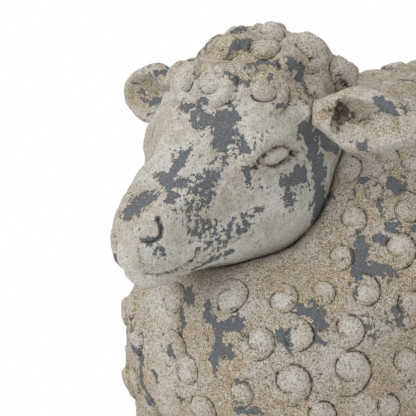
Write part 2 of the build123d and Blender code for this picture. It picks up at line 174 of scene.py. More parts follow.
@dataclass
class Clay:
    """A dense skin of points over solids of the frame, to be sculpted."""

    points: np.ndarray
    quads: np.ndarray

    @classmethod
    def wrap(cls, nodes: list[bpy.types.Object], grain: float) -> Clay:
        """Wraps a skin round the solids of some nodes.

        Args:
            nodes: Frame objects whose solids are taken together.
            grain: Distance between neighbouring points.

        Returns:
            The clay.
        """
        copies = []
        for node in nodes:
            copy = bpy.data.objects.new("clay", node.data.copy())
            bpy.context.scene.collection.objects.link(copy)
            copies.append(copy)
        with bpy.context.temp_override(active_object=copies[0], selected_editable_objects=copies):
            bpy.ops.object.join()
        lump = copies[0]
        skin = lump.modifiers.new("skin", "REMESH")
        skin.mode = "VOXEL"
        skin.voxel_size = grain
        shaped = lump.evaluated_get(bpy.context.evaluated_depsgraph_get())
        mesh = bpy.data.meshes.new_from_object(shaped)
        points = np.empty(len(mesh.vertices) * 3, np.float32)
        mesh.vertices.foreach_get("co", points)
        quads = np.empty(len(mesh.polygons) * 4, np.int32)
        mesh.loops.foreach_get("vertex_index", quads)
        bpy.data.objects.remove(lump)
        bpy.data.meshes.remove(mesh)
        return cls(points.reshape(-1, 3).astype(np.float64), quads.reshape(-1, 4))

    def keep_outside(self) -> None:
        """Drops every skin but the one that reaches furthest, such as the wall of a closed hollow."""
        rows, starts = self.neighbours()
        ends = np.append(starts[1:], len(rows))
        reached = np.zeros(len(self.points), bool)
        front = np.array([np.argmax(self.points[:, 1])])
        while len(front):
            reached[front] = True
            counts = ends[front] - starts[front]
            within = np.arange(counts.sum()) - np.repeat(np.cumsum(counts) - counts, counts)
            beside = rows[np.repeat(starts[front], counts) + within]
            front = np.unique(beside[~reached[beside]])
        self.keep(reached)

    def keep(self, wanted: np.ndarray) -> None:
        """Keeps only the wanted points and the faces between them.

        Args:
            wanted: True for each point that stays.
        """
        number = np.cumsum(wanted) - 1
        faces = wanted[self.quads].all(axis=1)
        self.quads = number[self.quads[faces]].astype(np.int32)
        self.points = self.points[wanted]

    def neighbours(self) -> tuple[np.ndarray, np.ndarray]:
        """The points beside each point, one row after another, and where each point's row starts."""
        sides = np.concatenate([self.quads[:, (i, (i + 1) % 4)] for i in range(4)])
        sides = sides[np.argsort(sides[:, 0], kind="stable")]
        return sides[:, 1], np.searchsorted(sides[:, 0], np.arange(len(self.points)))

    def normals(self) -> np.ndarray:
        """The outward direction at each point."""
        corners = self.points[self.quads]
        across = np.cross(corners[:, 2] - corners[:, 0], corners[:, 3] - corners[:, 1])
        total = np.zeros_like(self.points)
        for axis in range(3):
            weights = np.repeat(across[:, axis], 4)
            total[:, axis] = np.bincount(self.quads.ravel(), weights, len(self.points))
        return unit(total)

    def averaged(self, values: np.ndarray, rounds: int) -> np.ndarray:
        """Blurs values over neighbouring points.

        Args:
            values: One number or vector for each point.
            rounds: How many times each point takes its neighbours' mean.

        Returns:
            The blurred values.
        """
        rows, starts = self.neighbours()
        count = np.diff(np.append(starts, len(rows)))
        spread = values.reshape(len(values), -1).copy()
        for _ in range(rounds):
            total = np.add.reduceat(spread[rows], starts, axis=0)
            spread = 0.5 * spread + 0.5 * total / count[:, None]
        return spread.reshape(values.shape)

    def smooth(self, rounds: int) -> None:
        """Rubs the skin smooth."""
        self.points = self.averaged(self.points, rounds)

    def push(self, amount: np.ndarray) -> None:
        """Moves each point outward by its own amount."""
        self.points = self.points + self.normals() * amount[:, None]

    def hollows(self, rounds: int, depth: float) -> np.ndarray:
        """How far each point lies below the skin around it.

        Args:
            rounds: How wide the skin around is, in steps.
            depth: The depth that counts as 1.

        Returns:
            Numbers from -1 on crests to 1 in hollows.
        """
        below = np.sum((self.averaged(self.points, rounds) - self.points) * self.normals(), axis=1)
        return np.clip(below / depth, -1.0, 1.0)

    def tree(self) -> BVHTree:
        """A search tree over the faces, for lines of sight."""
        return BVHTree.FromPolygons(self.points.tolist(), self.quads.tolist())

    def shown(self, name: str, layers: dict[str, np.ndarray]) -> bpy.types.Object:
        """Makes the sculpted object.

        Args:
            name: Name of the object.
            layers: Numbers for each point that the finish reads, by name.

        Returns:
            The linked object.
        """
        mesh = bpy.data.meshes.new(name)
        mesh.vertices.add(len(self.points))
        mesh.vertices.foreach_set("co", self.points.astype(np.float32).ravel())
        mesh.loops.add(self.quads.size)
        mesh.loops.foreach_set("vertex_index", self.quads.ravel())
        mesh.polygons.add(len(self.quads))
        mesh.polygons.foreach_set("loop_start", np.arange(0, self.quads.size, 4, dtype=np.int32))
        mesh.polygons.foreach_set("use_smooth", np.ones(len(self.quads), bool))
        for layer, values in layers.items():
            made = mesh.attributes.new(layer, "FLOAT", "POINT")
            made.data.foreach_set("value", values.astype(np.float32))
        mesh.update(calc_edges=True)
        piece = bpy.data.objects.new(name, mesh)
        bpy.context.scene.collection.objects.link(piece)
        return piece


def lumps(points: np.ndarray, size: float, seed: int) -> np.ndarray:
    """Soft random unevenness in space.

    Args:
        points: Where it is wanted.
        size: Distance from one lump to the next.
        seed: Which pattern.

    Returns:
        Numbers from about -1 to 1, one for each point.
    """
    table = np.random.default_rng(seed).uniform(-1.0, 1.0, 4096)
    cell = np.floor(points / size).astype(np.int64)
    share = points / size - cell
    share = share * share * (3.0 - 2.0 * share)
    total = np.zeros(len(points))
    for corner in np.ndindex(2, 2, 2):
        spot = cell + np.array(corner)
        code = (spot[:, 0] * 73856093 ^ spot[:, 1] * 19349663 ^ spot[:, 2] * 83492791) & 4095
        weight = np.prod(np.where(np.array(corner) == 1, share, 1.0 - share), axis=1)
        total += weight * table[code]
    return total


def frayed(points: np.ndarray) -> np.ndarray:
    """Points shifted at random, so that what is drawn round a spot among them gets a ragged outline.

    Args:
        points: The points.

    Returns:
        The shifted points.
    """
    seeds = (71, 72, 73)
    shifts = [lumps(points, 8.0 * MM, seed) * 3.2 + lumps(points, 3.0 * MM, seed + 3) * 1.6 for seed in seeds]
    return points + np.stack(shifts, axis=1) * MM


def peeled(share: np.ndarray) -> np.ndarray:
    """How far the coat is gone round the middle of a patch: half way at its edge, then only in flecks.

    Args:
        share: Distance from the middle, in half widths of the patch.

    Returns:
        Numbers from 0 to 1.
    """
    flecks = FLECK_COVER * np.exp(-0.69 * (share / FLECK_REACH) ** 2)
    return np.maximum(np.exp(-0.69 * share**2), flecks) * (share < FLECK_REACH * 1.99)


class Winding(Enum):
    """Which way a curl winds in towards its middle, seen from outside."""

    LEFT = 1.0
    RIGHT = -1.0


@dataclass(frozen=True)
class Curl:
    """A curl of wool: a coil that rises out of the fleece and winds in to its middle."""

    place: np.ndarray
    outward: np.ndarray
    start: np.ndarray
    radius: float
    height: float
    winding: Winding
    groove: float = 0.45
    blunt: float = 0.9
    coil: float = 0.5
    inner_end: float = 1.6
    tongue: float = 0.24
    wall: float = 0.4
    groove_width: float = 0.18
    lip_width: float = 0.14
    moat_width: float = 0.2

    def groove_at(self, along: np.ndarray) -> np.ndarray:
        """How deep the groove is at so many turns along the coil, from 0 to 1."""
        return smoothstep(0.2, 0.6, along) * (1.0 - smoothstep(self.inner_end - 0.4, self.inner_end, along))

    def relief(self, points: np.ndarray) -> np.ndarray:
        """The height of the curl over the fleece.

        Args:
            points: Points on the fleece near the curl.

        Returns:
            The height at each point.
        """
        away = points - self.place
        side = np.cross(self.outward, self.start)
        across, over = away @ self.start, away @ side
        reach = np.sqrt(across**2 + over**2) / self.radius
        turn = np.mod(np.arctan2(over, across) * self.winding.value / (2 * math.pi), 1.0)
        inward = (1.0 - reach) / self.coil - turn
        ring = np.floor(inward)
        depth, along = inward - ring, turn + ring
        rise = smoothstep(0.0, self.tongue, along) * (0.6 + 0.4 * smoothstep(0.1, 0.7, along))
        dome = np.clip(1.0 - reach**2, 0.0, 1.0) ** self.blunt * rise
        edge = np.where(ring < 0.5, 1.0 - np.clip(1.0 - depth / self.wall, 0.0, 1.0) ** 2, 1.0)
        cut = self.groove_at(along) * np.exp(-((depth / self.groove_width) ** 2)) * (ring > 0.5)
        lip = np.exp(-(((1.0 - depth) / self.lip_width) ** 2))
        cut = np.maximum(cut, self.groove_at(along + 1.0) * lip)
        moat = smoothstep(0.25, 0.55, turn) * (1.0 - smoothstep(0.7, 0.95, turn))
        moat = moat * np.exp(-((inward / self.moat_width) ** 2))
        height = np.where(ring >= 0.0, dome * edge - self.groove * cut, -self.groove * moat)
        return self.height * height * (np.abs(away @ self.outward) < self.radius)


@dataclass(frozen=True)
class CurlMark:
    """A curl as the photograph shows it, in pixels; its coil starts so many degrees up from the right."""

    middle: Pixel
    size: float
    winding: Winding = Winding.LEFT
    start: float = 135.0


@dataclass(frozen=True)
class Stroke:
    """A stroke of the modelling tool along a line of pixels of the photograph."""

    line: tuple[Pixel, ...]
    width: float
    depth: float


@dataclass(frozen=True)
class Patch:
    """A bare, hazy or gritty place on the coat: a line of pixels, its width in pixels and its strength."""

    line: tuple[Pixel, ...]
    width: float
    strength: float = 1.0


class Sculptor:
    """Works marks of the photograph into a lump of clay."""

    def __init__(self, clay: Clay, view: Viewpoint) -> None:
        """Looks at the clay from the photograph's viewpoint.

        Args:
            clay: What is sculpted.
            view: The photograph's viewpoint.
        """
        self.clay = clay
        self.view = view
        self.sight = clay.tree()
        self.frayed = frayed(clay.points)

    def spots(self, line: tuple[Pixel, ...], step: float = 1.5) -> np.ndarray:
        """Finds the points of the clay along a line of pixels.

        Args:
            line: Corners of the line.
            step: Distance between points, in pixels.

        Returns:
            The points that lines of sight hit.
        """
        corners = [np.array(corner) for corner in line]
        found = []
        for first, last in zip(corners, corners[1:] or corners):
            count = max(int(np.linalg.norm(last - first) / step), 1)
            for share in np.linspace(0.0, 1.0, count + 1):
                start, way = self.view.ray(tuple(first + (last - first) * share))
                hit = self.sight.ray_cast(start, way)[0]
                if hit is not None:
                    found.append(tuple(hit))
        return np.array(found).reshape(-1, 3)

    @staticmethod
    def distance(points: np.ndarray, spots: np.ndarray, limit: float) -> np.ndarray:
        """How far each point is from the nearest of some spots, up to a limit."""
        far = np.full(len(points), limit)
        for spot in spots:
            near = np.flatnonzero(np.all(np.abs(points - spot) < limit, axis=1))
            far[near] = np.minimum(far[near], np.linalg.norm(points[near] - spot, axis=1))
        return far

    def carve(self, strokes: tuple[Stroke, ...], both_sides: bool = True) -> None:
        """Pushes the clay out or in along strokes.

        Args:
            strokes: The strokes, with depth above 0 outward.
            both_sides: Whether the far side gets the same strokes.
        """
        amount = np.zeros(len(self.clay.points))
        for stroke in strokes:
            spots = self.spots(stroke.line)
            if both_sides:
                spots = np.concatenate([spots, spots * (-1.0, 1.0, 1.0)])
            gap = self.distance(self.clay.points, spots, stroke.width * 2.5)
            amount += stroke.depth * np.exp(-((gap / stroke.width) ** 2)) * (gap < stroke.width * 2.49)
        self.clay.push(amount)

    def dirt_and_shade_in_cuts(self, strokes: tuple[Stroke, ...]) -> np.ndarray:
        """How much painted shade, brown as dirt, lies at each point in the narrow cuts among some strokes.

        Args:
            strokes: The strokes that were carved, also found on the far side.

        Returns:
            Numbers from 0 to 1.
        """
        dirt_and_shade = np.zeros(len(self.clay.points))
        for stroke in strokes:
            if stroke.depth > -SHADED_CUT_DEPTH or stroke.width > SHADED_CUT_WIDTH:
                continue
            spots = self.spots(stroke.line)
            spots = np.concatenate([spots, spots * (-1.0, 1.0, 1.0)])
            gap = self.distance(self.clay.points, spots, stroke.width * 2.5)
            strength = 0.5 + 0.5 * min(-stroke.depth / (2.0 * SHADED_CUT_DEPTH), 1.0)
            dirt_and_shade = np.maximum(dirt_and_shade, strength * np.exp(-((gap / stroke.width) ** 4)))
        return dirt_and_shade * (0.75 + 0.5 * lumps(self.clay.points, 1.4 * MM, 29))

    def covered(self, patches: tuple[Patch, ...]) -> np.ndarray:
        """How strongly patches of the photograph cover each point.

        Args:
            patches: The patches.

        Returns:
            Numbers from 0 to 1.
        """
        cover = np.zeros(len(self.clay.points))
        for patch in patches:
            width = patch.width * self.view.pixel
            spots = self.spots(patch.line, patch.width / 3)
            gap = self.distance(self.frayed, spots, width * FLECK_REACH * 2.0)
            cover = np.maximum(cover, patch.strength * peeled(gap / width))
        return cover

    def seen(self) -> np.ndarray:
        """True for each point that faces the photograph and lies in its frame."""
        right, up, back = self.view.axes()
        away = self.clay.points - np.array(self.view.ears)
        across = self.view.ears_at[0] + away @ np.array(right) / self.view.pixel
        down = self.view.ears_at[1] - away @ np.array(up) / self.view.pixel
        inside = (across > -10) & (across < PHOTO_SIDE + 10) & (down > -10) & (down < PHOTO_SIDE + 10)
        return inside & (self.clay.normals() @ np.array(back) > 0.15)


@dataclass
class Fleece:
    """The curls over a lump of clay."""

    sculptor: Sculptor
    rise: float
    groove: float = 0.45
    blunt: float = 0.9
    curls: list[Curl] = field(default_factory=list)

    def curl(
        self, place: np.ndarray, outward: np.ndarray, way: np.ndarray, radius: float, winding: Winding
    ) -> None:
        """Adds a curl.

        Args:
            place: Its middle.
            outward: Direction out of the fleece.
            way: Roughly where its coil starts.
            radius: How far it reaches.
            winding: Which way it winds.
        """
        start = unit(way - outward * (way @ outward))
        height = radius * self.rise
        self.curls.append(Curl(place, outward, start, radius, height, winding, self.groove, self.blunt))

    def from_photo(self, marks: tuple[CurlMark, ...], both_sides: bool) -> None:
        """Adds the curls that the photograph shows.

        Args:
            marks: The curls in pixels.
            both_sides: Whether the far side gets the same curls.
        """
        clay, view = self.sculptor.clay, self.sculptor.view
        normals = clay.averaged(clay.normals(), 12)
        right, up, _ = (np.array(axis) for axis in view.axes())
        flip = np.array((-1.0, 1.0, 1.0))
        for mark in marks:
            spots = self.sculptor.spots((mark.middle,))
            if not len(spots):
                continue
            nearest = np.argmin(np.sum((clay.points - spots[0]) ** 2, axis=1))
            outward = unit(normals[nearest])
            turn = mark.winding.value * math.radians(mark.start)
            way = right * math.cos(turn) + up * math.sin(turn)
            self.curl(spots[0], outward, way, mark.size * view.pixel, mark.winding)
            if both_sides and abs(spots[0][0]) > mark.size * view.pixel / 2:
                other = Winding.RIGHT if mark.winding is Winding.LEFT else Winding.LEFT
                self.curl(spots[0] * flip, outward * flip, way * flip, mark.size * view.pixel, other)

    def spread(self, order: np.ndarray, sizes: tuple[float, float], gap: float, seed: int) -> None:
        """Places curls of random size on points in turn, wherever there is room.

        Args:
            order: Numbers of the points to try, the best first.
            sizes: Smallest and largest radius.
            gap: Room between neighbours, as a share of their radii.
            seed: Which spread.
        """
        chance = np.random.default_rng(seed)
        clay = self.sculptor.clay
        normals = clay.averaged(clay.normals(), 12)
        places = [curl.place for curl in self.curls]
        radii = [curl.radius for curl in self.curls]
        for index in order:
            radius = chance.uniform(*sizes)
            spot = clay.points[index]
            if places:
                room = (np.array(radii) + radius) * gap
                if np.any(np.linalg.norm(np.array(places) - spot, axis=1) < room):
                    continue
            winding = Winding.LEFT if chance.random() < 0.6 else Winding.RIGHT
            turn = winding.value * chance.uniform(1.9, 2.8)
            outward = unit(normals[index])
            level = unit(np.cross((0.0, 0.0, 1.0), outward) + (1e-6, 0.0, 0.0))
            way = level * math.cos(turn) + np.cross(outward, level) * math.sin(turn)
            self.curl(spot, outward, way, radius, winding)
            places.append(spot)
            radii.append(radius)

    def fill(self, wanted: np.ndarray, sizes: tuple[float, float], gap: float, seed: int) -> None:
        """Spreads curls over what is still free, in any order.

        Args:
            wanted: True for each point that may be a curl's middle.
            sizes: Smallest and largest radius.
            gap: Room between neighbours, as a share of their radii.
            seed: Which spread.
        """
        order = np.random.default_rng(seed).permutation(np.flatnonzero(wanted))[:6000]
        self.spread(order, sizes, gap, seed + 1)

    def work_in(self) -> np.ndarray:
        """Raises every curl out of the clay.

        Returns:
            How far each point is up a curl, from 0 to 1.
        """
        clay = self.sculptor.clay
        normals = clay.averaged(clay.normals(), 6)
        highest = np.zeros(len(clay.points))
        lowest = np.zeros(len(clay.points))
        crown = np.zeros(len(clay.points))
        for curl in self.curls:
            near = np.flatnonzero(np.all(np.abs(clay.points - curl.place) < curl.radius * 1.3, axis=1))
            near = near[normals[near] @ curl.outward > 0.3]
            height = curl.relief(clay.points[near])
            highest[near] = np.maximum(highest[near], height)
            lowest[near] = np.minimum(lowest[near], height)
            crown[near] = np.maximum(crown[near], height / curl.height)
        worn = 0.85 + 0.15 * lumps(clay.points, 5.0 * MM, 17)
        amount = np.where(highest > 0.0, highest * worn, lowest)
        clay.points = clay.points + unit(normals) * amount[:, None]
        return smoothstep(0.45, 1.15, crown) * (0.6 + 0.4 * lumps(clay.points, 30.0 * MM, 19))


class Graph:
    """Places nodes in one node tree."""

    def __init__(self, tree: bpy.types.NodeTree) -> None:
        """Works in a tree."""
        self.tree = tree

    def node(self, kind: str, **settings: object) -> bpy.types.Node:
        """Adds a node.

        Args:
            kind: The node's type.
            settings: Its properties.

        Returns:
            The node.
        """
        made = self.tree.nodes.new(kind)
        for name, value in settings.items():
            setattr(made, name, value)
        return made

    def put(self, socket: bpy.types.NodeSocket, value: object) -> None:
        """Links a socket to another, or sets its value."""
        if isinstance(value, bpy.types.NodeSocket):
            self.tree.links.new(value, socket)
        else:
            socket.default_value = value

    def math(self, operation: str, first: object, second: object = 0.0) -> bpy.types.NodeSocket:
        """The result of a sum on two values."""
        made = self.node("ShaderNodeMath", operation=operation)
        self.put(made.inputs[0], first)
        self.put(made.inputs[1], second)
        return made.outputs[0]

    def step(self, value: object, low: float, high: float) -> bpy.types.NodeSocket:
        """Rises smoothly from 0 at low to 1 at high."""
        made = self.node("ShaderNodeMapRange", interpolation_type="SMOOTHSTEP")
        self.put(made.inputs["Value"], value)
        self.put(made.inputs["From Min"], low)
        self.put(made.inputs["From Max"], high)
        return made.outputs[0]

    def blend(self, share: object, first: object, second: object) -> bpy.types.NodeSocket:
        """Mixes two colours by a share."""
        made = self.node("ShaderNodeMix", data_type="RGBA")
        self.put(made.inputs[0], share)
        self.put(made.inputs[6], first)
        self.put(made.inputs[7], second)
        return made.outputs[2]

    def noise(self, scale: float, detail: float, roughness: float = 0.5) -> bpy.types.NodeSocket:
        """Random cloud from 0 to 1 over the object, with so many features to the metre."""
        made = self.node("ShaderNodeTexNoise")
        self.put(made.inputs["Vector"], self.node("ShaderNodeTexCoord").outputs["Object"])
        self.put(made.inputs["Scale"], scale)
        self.put(made.inputs["Detail"], detail)
        self.put(made.inputs["Roughness"], roughness)
        return made.outputs[0]

    def layer(self, name: str) -> bpy.types.NodeSocket:
        """A number of the mesh's points, by the layer's name."""
        return self.node("ShaderNodeAttribute", attribute_name=name).outputs["Fac"]


def sand_grain() -> bpy.types.NodeTree:
    """The sandy grain that all the cement shares, built once.

    Returns:
        A node group that puts out fine grain, coarse grit, wide mottling, small clouds and a height for bump.
    """
    tree = bpy.data.node_groups.get("sand_grain")
    if tree is not None:
        return tree
    tree = bpy.data.node_groups.new("sand_grain", "ShaderNodeTree")
    for name in ("Grain", "Grit", "Mottle", "Cloud", "Height"):
        tree.interface.new_socket(name=name, in_out="OUTPUT", socket_type="NodeSocketFloat")
    graph = Graph(tree)
    grain = graph.noise(1300.0, 1.0)
    grit = graph.noise(800.0, 1.0, 0.6)
    mottle = graph.noise(38.0, 5.0, 0.62)
    out = graph.node("NodeGroupOutput")
    graph.put(out.inputs["Grain"], grain)
    graph.put(out.inputs["Grit"], grit)
    graph.put(out.inputs["Mottle"], mottle)
    graph.put(out.inputs["Cloud"], graph.noise(190.0, 3.0, 0.6))
    graph.put(out.inputs["Height"], graph.math("ADD", graph.math("MULTIPLY", grain, 0.45), grit))
    return tree


class Finish:
    """A finish of the figurine, made into a material once."""

    def material(self) -> bpy.types.Material:
        """The finish's material."""
        name = type(self).__name__
        made = bpy.data.materials.get(name)
        if made is None:
            made = bpy.data.materials.new(name)
            made.use_nodes = True
            self.paint(Graph(made.node_tree), made.node_tree.nodes["Principled BSDF"])
        return made

    def paint(self, graph: Graph, surface: bpy.types.Node) -> None:
        """Builds the finish's nodes."""
        raise NotImplementedError

    def dress(self, piece: bpy.types.Object, slot: str) -> None:
        """Gives a piece this finish.

        Args:
            piece: The piece.
            slot: Not used.
        """
        piece.data.materials.clear()
        piece.data.materials.append(self.material())


@dataclass(frozen=True)
class PeelingCement(Finish):
    """Grey cement under a sandy cream coat that peels: gritty in the wool, worn pale on the crests, with
    painted light as pale haze on parts of the face and painted shade, brown as dirt, in deep hollows and
    cuts.
    """

    grey: Colour = srgb(92, 95, 99)
    light_grey: Colour = srgb(124, 127, 130)
    cream: Colour = srgb(188, 186, 178)
    sand: Colour = srgb(168, 159, 142)
    tan: Colour = srgb(170, 151, 122)
    grit: Colour = srgb(112, 94, 70)
    # Painted shade, dark brown as dirt, for deep hollows and narrow cuts.
    dirt_and_shade: Colour = srgb(56, 46, 34)
    # Pale haze of worn crests and light grains, also used as painted light on the cheek and jaw.
    haze_and_light: Colour = srgb(220, 219, 215)
    coat_thickness: float = 0.45 * MM

    def paint(self, graph: Graph, surface: bpy.types.Node) -> None:
        """Builds the coat over the cement."""
        sand = graph.node("ShaderNodeGroup", node_tree=sand_grain())
        hollow = graph.layer("hollow")
        crest = graph.step(graph.math("MULTIPLY", hollow, -1.0), 0.1, 0.7)
        # Pale where curl crowns and crests are worn, and where the face gets painted light as haze.
        pale = graph.math("MAXIMUM", graph.layer("crown"), graph.math("MULTIPLY", crest, 0.35))
        dip = graph.math("MULTIPLY", graph.step(hollow, 0.0, 0.6), 0.6)
        wool = graph.math("MULTIPLY", graph.layer("wool"), graph.math("SUBTRACT", 1.0, pale))
        rough = graph.math("MAXIMUM", wool, dip)
        gone = self.peeled(graph)
        cloud = graph.math("ADD", sand.outputs["Mottle"], graph.math("MULTIPLY", sand.outputs["Cloud"], 0.8))
        coat = graph.blend(graph.step(cloud, 0.72, 1.02), self.sand, self.cream)
        uneven = graph.math("ADD", graph.math("MULTIPLY", graph.step(cloud, 1.05, 0.75), 0.55), 0.45)
        coat = graph.blend(graph.math("MULTIPLY", rough, uneven), coat, self.tan)
        coat = graph.blend(graph.math("MULTIPLY", pale, 0.6), coat, self.haze_and_light)
        coarse = graph.math("ADD", graph.math("MULTIPLY", rough, 0.4), 0.35)
        dark = graph.math("MULTIPLY", graph.step(sand.outputs["Grit"], 0.5, 0.38), coarse)
        coat = graph.blend(dark, coat, self.grit)
        light = graph.math("MULTIPLY", graph.step(sand.outputs["Grain"], 0.52, 0.66), coarse)
        coat = graph.blend(light, coat, self.haze_and_light)
        cement = graph.blend(graph.step(sand.outputs["Grain"], 0.42, 0.75), self.grey, self.light_grey)
        colour = graph.blend(gone, coat, cement)
        # Painted shade, dark brown as dirt, where the surface lies deep in a hollow or cut, broken up by the
        # grit.
        sunk = graph.math("ADD", hollow, graph.math("SUBTRACT", sand.outputs["Grit"], 0.5))
        colour = graph.blend(graph.math("MULTIPLY", graph.step(sunk, 0.55, 1.0), 0.85), colour, self.dirt_and_shade)
        graph.put(surface.inputs["Base Color"], colour)
        graph.put(surface.inputs["Roughness"], 0.95)
        graph.put(surface.inputs["Specular IOR Level"], 0.15)
        coated = graph.math("SUBTRACT", 1.0, gone)
        grain = graph.math("MULTIPLY", sand.outputs["Height"], graph.math("MULTIPLY", coated, coarse))
        bump = graph.node("ShaderNodeBump")
        graph.put(bump.inputs["Strength"], 1.0)
        graph.put(bump.inputs["Distance"], self.coat_thickness)
        graph.put(bump.inputs["Height"], graph.math("ADD", coated, graph.math("MULTIPLY", grain, 3.4)))
        graph.put(surface.inputs["Normal"], bump.outputs["Normal"])

    def peeled(self, graph: Graph) -> bpy.types.NodeSocket:
        """Where the coat is gone, with ragged edges and flecks.

        Args:
            graph: The material's nodes.

        Returns:
            A mask from 0, coated, to 1, bare.
        """
        ragged = graph.math("SUBTRACT", graph.noise(330.0, 5.0, 0.72), 0.5)
        blotch = graph.math("SUBTRACT", graph.noise(75.0, 2.0), 0.5)
        torn = graph.math("MULTIPLY", graph.math("SUBTRACT", graph.layer("bare"), 0.45), 2.6)
        torn = graph.math("ADD", torn, graph.math("MULTIPLY", ragged, 6.0))
        torn = graph.math("ADD", torn, graph.math("MULTIPLY", blotch, 2.4))
        return graph.step(torn, -0.08, 0.08)


@dataclass(frozen=True)
class PlainCement(Finish):
    """Bare grey cement, as the plug under the belly shows it."""

    grey: Colour = srgb(120, 121, 122)
    light_grey: Colour = srgb(158, 157, 153)
    grain_height: float = 0.3 * MM

    def paint(self, graph: Graph, surface: bpy.types.Node) -> None:
        """Builds the bare cement."""
        sand = graph.node("ShaderNodeGroup", node_tree=sand_grain())
        colour = graph.blend(graph.step(sand.outputs["Mottle"], 0.3, 0.7), self.grey, self.light_grey)
        colour = graph.blend(graph.step(sand.outputs["Grit"], 0.5, 0.7), colour, self.grey)
        graph.put(surface.inputs["Base Color"], colour)
        graph.put(surface.inputs["Roughness"], 0.92)
        bump = graph.node("ShaderNodeBump")
        graph.put(bump.inputs["Distance"], self.grain_height)
        graph.put(bump.inputs["Height"], sand.outputs["Height"])
        graph.put(surface.inputs["Normal"], bump.outputs["Normal"])


@dataclass(frozen=True)
class RodSteel(Finish):
    """Plain drawn steel rod with a trace of rust."""

    steel: Colour = srgb(150, 150, 152)
    rust: Colour = srgb(112, 74, 50)

    def paint(self, graph: Graph, surface: bpy.types.Node) -> None:
        """Builds the steel."""
        spots = graph.step(graph.noise(260.0, 4.0, 0.6), 0.56, 0.68)
        graph.put(surface.inputs["Base Color"], graph.blend(spots, self.steel, self.rust))
        graph.put(surface.inputs["Metallic"], graph.math("SUBTRACT", 1.0, spots))
        graph.put(surface.inputs["Roughness"], graph.math("ADD", graph.math("MULTIPLY", spots, 0.4), 0.4))


BODY_CURLS = (
    CurlMark((346, 171), 22, Winding.RIGHT),
    CurlMark((351, 219), 22),
    CurlMark((339, 256), 20),
    CurlMark((372, 192), 15, Winding.RIGHT),
    CurlMark((386, 157), 19),
    CurlMark((411, 166), 19),
    CurlMark((406, 208), 24, Winding.RIGHT),
    CurlMark((399, 248), 25),
    CurlMark((281, 299), 23, Winding.RIGHT),
    CurlMark((322, 291), 18),
    CurlMark((365, 292), 22, Winding.RIGHT),
    CurlMark((410, 307), 27),
    CurlMark((258, 341), 23),
    CurlMark((297, 337), 23, Winding.RIGHT),
    CurlMark((348, 329), 23),
    CurlMark((239, 392), 20),
    CurlMark((290, 383), 29),
    CurlMark((350, 370), 31),
    CurlMark((404, 363), 24),
    CurlMark((387, 409), 24),
    CurlMark((228, 298), 27, Winding.RIGHT),
    CurlMark((200, 409), 26),
    CurlMark((170, 345), 27),
    CurlMark((172, 300), 22, Winding.RIGHT),
    CurlMark((320, 416), 24),
    CurlMark((185, 372), 22, Winding.RIGHT),
    CurlMark((132, 305), 20),
    CurlMark((135, 340), 20),
    CurlMark((134, 378), 20),
    CurlMark((150, 405), 20),
    CurlMark((374, 73), 12, Winding.RIGHT),
    CurlMark((396, 70), 13),
    CurlMark((413, 66), 12),
    CurlMark((388, 84), 14),
    CurlMark((410, 84), 14, Winding.RIGHT),
    CurlMark((408, 102), 14),
)
TOPKNOT_CURLS = (
    CurlMark((266, 90), 31, Winding.LEFT, 200.0),
    CurlMark((313, 93), 24, Winding.RIGHT),
    CurlMark((215, 83), 31),
    CurlMark((262, 49), 25, Winding.RIGHT),
    CurlMark((310, 50), 29),
    CurlMark((341, 72), 27),
    CurlMark((226, 46), 21),
    CurlMark((192, 71), 18, Winding.RIGHT),
    CurlMark((180, 86), 12),
    CurlMark((270, 31), 20),
    CurlMark((238, 31), 13),
    CurlMark((206, 47), 13),
)
FACE_STROKES = (
    Stroke(((271, 159), (282, 154)), 4.2 * MM, 2.0 * MM),
    Stroke(((248, 172), (262, 175), (280, 171), (296, 163)), 5.0 * MM, -1.0 * MM),
    Stroke(((246, 163), (256, 149), (270, 140), (288, 138), (304, 146)), 4.5 * MM, 1.3 * MM),
    Stroke(((256, 168), (262, 158.5), (268, 153), (276, 148), (284, 146), (297, 152.5)), 1.9 * MM, -2.7 * MM),
    Stroke(((264, 152), (273, 144.5), (283, 141.5), (292, 144)), 1.1 * MM, -1.3 * MM),
    Stroke(((263, 161), (267, 157)), 1.6 * MM, -1.3 * MM),
    Stroke(((284, 163), (292, 158.5), (298, 154)), 1.5 * MM, -1.6 * MM),
    Stroke(
        ((262, 163), (272, 166.5), (280, 165), (285, 161.5), (291, 156), (297, 152.5)),
        1.6 * MM,
        -2.4 * MM,
    ),
    Stroke(((153, 220), (154, 230), (150, 238)), 3.2 * MM, -0.9 * MM),
    Stroke(
        ((158, 220), (161, 226), (161, 234), (157, 239.5), (150, 242.5), (142, 241.5)),
        1.1 * MM,
        -2.3 * MM,
    ),
    Stroke(((139, 248), (142, 262), (145.5, 273)), 2.3 * MM, -1.3 * MM),
    Stroke(((146, 275.5), (160, 275), (170, 272.5), (182, 268), (196, 258.5)), 1.3 * MM, -1.9 * MM),
    Stroke(((150, 284), (170, 281), (190, 273)), 3.5 * MM, 0.8 * MM),
    Stroke(((178, 212), (211, 198), (261, 193), (282, 187)), 6.0 * MM, 0.8 * MM),
    Stroke(((230, 190), (262, 181), (290, 172)), 5.0 * MM, -0.7 * MM),
    Stroke(((120, 222), (115, 240), (117, 258)), 11.0 * MM, 1.4 * MM),
    Stroke(((147, 130), (146, 142), (147, 152)), 9.0 * MM, -3.0 * MM),
    Stroke(((125, 207), (134, 190), (143, 173)), 11.0 * MM, 2.0 * MM),
)
POLL_STROKES = (
    Stroke(((332, 72), (336, 78), (341, 84)), 8.0 * MM, 6.0 * MM),
)
EAR_STROKES = (
    Stroke(((326, 112), (345, 117), (368, 121)), 9.0 * MM, -4.5 * MM),
    Stroke(((328, 112), (346, 116), (366, 120)), 5.0 * MM, -2.5 * MM),
)
EAR_BOWL = (
    Patch(((328, 114), (350, 119), (384, 124)), 15),
    Patch(((138, 88), (158, 92)), 10),
)
